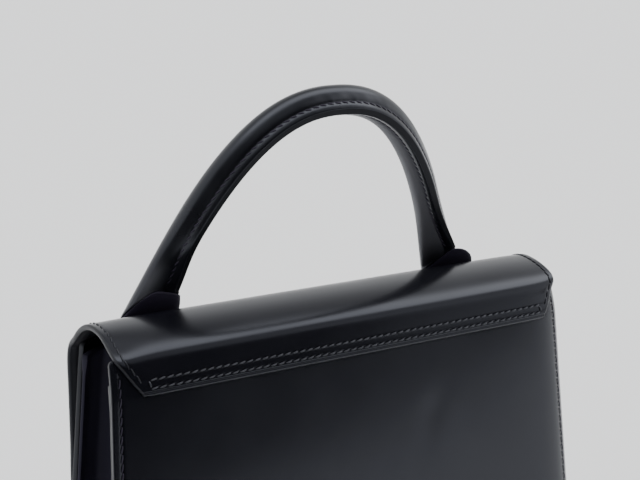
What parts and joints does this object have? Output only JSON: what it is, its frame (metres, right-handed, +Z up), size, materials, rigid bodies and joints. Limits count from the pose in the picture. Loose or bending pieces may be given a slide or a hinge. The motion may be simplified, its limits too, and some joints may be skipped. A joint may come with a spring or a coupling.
{
  "type": "handbag",
  "caption": "Structured top-handle handbag with a sewn-on flap over the top, folding side gussets and a rolled arched handle.",
  "frame": {"origin": "middle of the base's underside, where the bag stands", "axes": "+Z up, +X along the bag's width, +Y toward the front that the flap closes over, so the face with the flap's sewn edge looks along -Y"},
  "size_m": [0.239, 0.0932, 0.2893],
  "materials": {
    "body_leather": "smooth black box calf, semi-gloss",
    "gusset_leather": "smooth black leather, satin",
    "base_leather": "smooth black leather, satin",
    "flap_leather": "smooth black box calf, semi-gloss",
    "handle_leather": "rolled black leather, semi-gloss",
    "pad_leather": "black leather, matte",
    "clasp_metal": "blackened metal"
  },
  "bodies": {
    "root": {"back_panel": "body_leather", "front_panel": "body_leather", "gusset_left": "gusset_leather", "gusset_right": "gusset_leather", "base": "base_leather", "flap": "flap_leather", "handle": "handle_leather", "handle_foot_left": "pad_leather", "handle_foot_right": "pad_leather", "clasp": "clasp_metal"}
  },
  "joints": []
}
